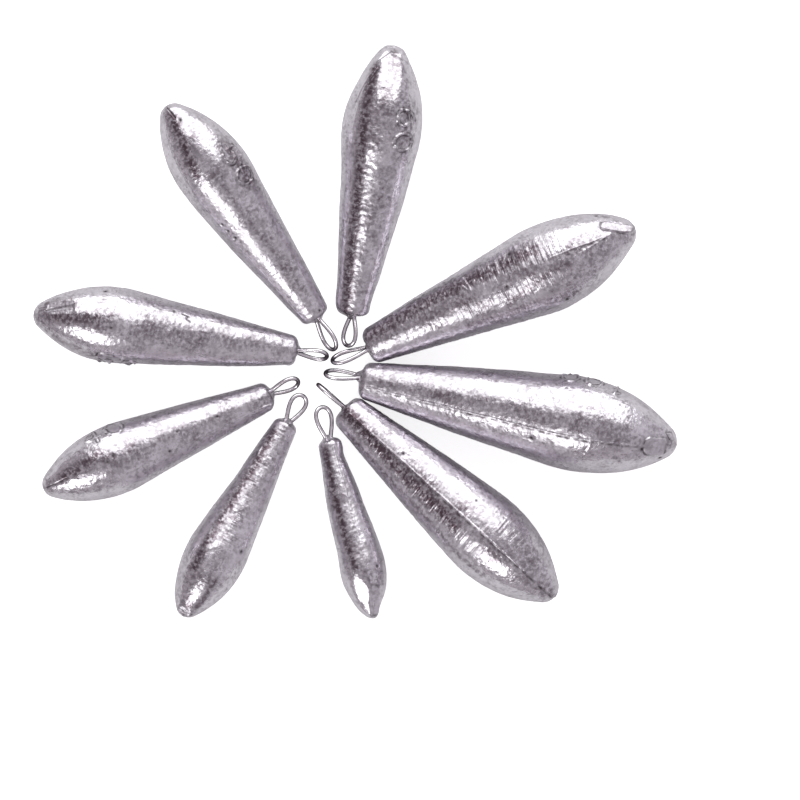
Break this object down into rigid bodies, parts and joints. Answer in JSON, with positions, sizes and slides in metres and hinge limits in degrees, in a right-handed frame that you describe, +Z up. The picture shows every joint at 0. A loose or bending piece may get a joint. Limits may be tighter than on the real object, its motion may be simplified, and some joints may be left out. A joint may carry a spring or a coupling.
{
  "type": "fishing sinker set",
  "caption": "Graduated teardrop lead fishing sinkers with a cast-in wire eye, laid out as a star with their eyes together",
  "frame": {"origin": "on the table, under the middle of the star's outline seen from above", "axes": "+X to the right of the star, towards the 100 g sinker, along the longest extent; +Y to the top of the star, towards the 60 g sinker; +Z up from the table, the shortest extent"},
  "size_m": [0.1221, 0.1088, 0.0185],
  "materials": {
    "cast_lead": "bright as-cast lead, silvery with darker grainy bands and fine mould marks",
    "tinned_wire": "tinned steel wire, smooth and slightly dull"
  },
  "bodies": {
    "sinker_100g": {"lead_100g": "cast_lead", "eye_100g": "tinned_wire"},
    "sinker_80g": {"lead_80g": "cast_lead", "eye_80g": "tinned_wire"},
    "sinker_70g": {"lead_70g": "cast_lead", "eye_70g": "tinned_wire"},
    "sinker_60g": {"lead_60g": "cast_lead", "eye_60g": "tinned_wire"},
    "sinker_55g": {"lead_55g": "cast_lead", "eye_55g": "tinned_wire"},
    "sinker_50g": {"lead_50g": "cast_lead", "eye_50g": "tinned_wire"},
    "sinker_40g": {"lead_40g": "cast_lead", "eye_40g": "tinned_wire"},
    "sinker_30g": {"lead_30g": "cast_lead", "eye_30g": "tinned_wire"},
    "sinker_15g": {"lead_15g": "cast_lead", "eye_15g": "tinned_wire"}
  },
  "joints": [
    {"name": "lift_80g", "type": "slide", "parent": "sinker_100g", "child": "sinker_80g", "axis": [0, 0, 1], "range_m": [0, 0.03]},
    {"name": "lift_70g", "type": "slide", "parent": "sinker_100g", "child": "sinker_70g", "axis": [0, 0, 1], "range_m": [0, 0.03]},
    {"name": "lift_60g", "type": "slide", "parent": "sinker_100g", "child": "sinker_60g", "axis": [0, 0, 1], "range_m": [0, 0.03]},
    {"name": "lift_55g", "type": "slide", "parent": "sinker_100g", "child": "sinker_55g", "axis": [0, 0, 1], "range_m": [0, 0.03]},
    {"name": "lift_50g", "type": "slide", "parent": "sinker_100g", "child": "sinker_50g", "axis": [0, 0, 1], "range_m": [0, 0.03]},
    {"name": "lift_40g", "type": "slide", "parent": "sinker_100g", "child": "sinker_40g", "axis": [0, 0, 1], "range_m": [0, 0.03]},
    {"name": "lift_30g", "type": "slide", "parent": "sinker_100g", "child": "sinker_30g", "axis": [0, 0, 1], "range_m": [0, 0.03]},
    {"name": "lift_15g", "type": "slide", "parent": "sinker_100g", "child": "sinker_15g", "axis": [0, 0, 1], "range_m": [0, 0.03]}
  ]
}
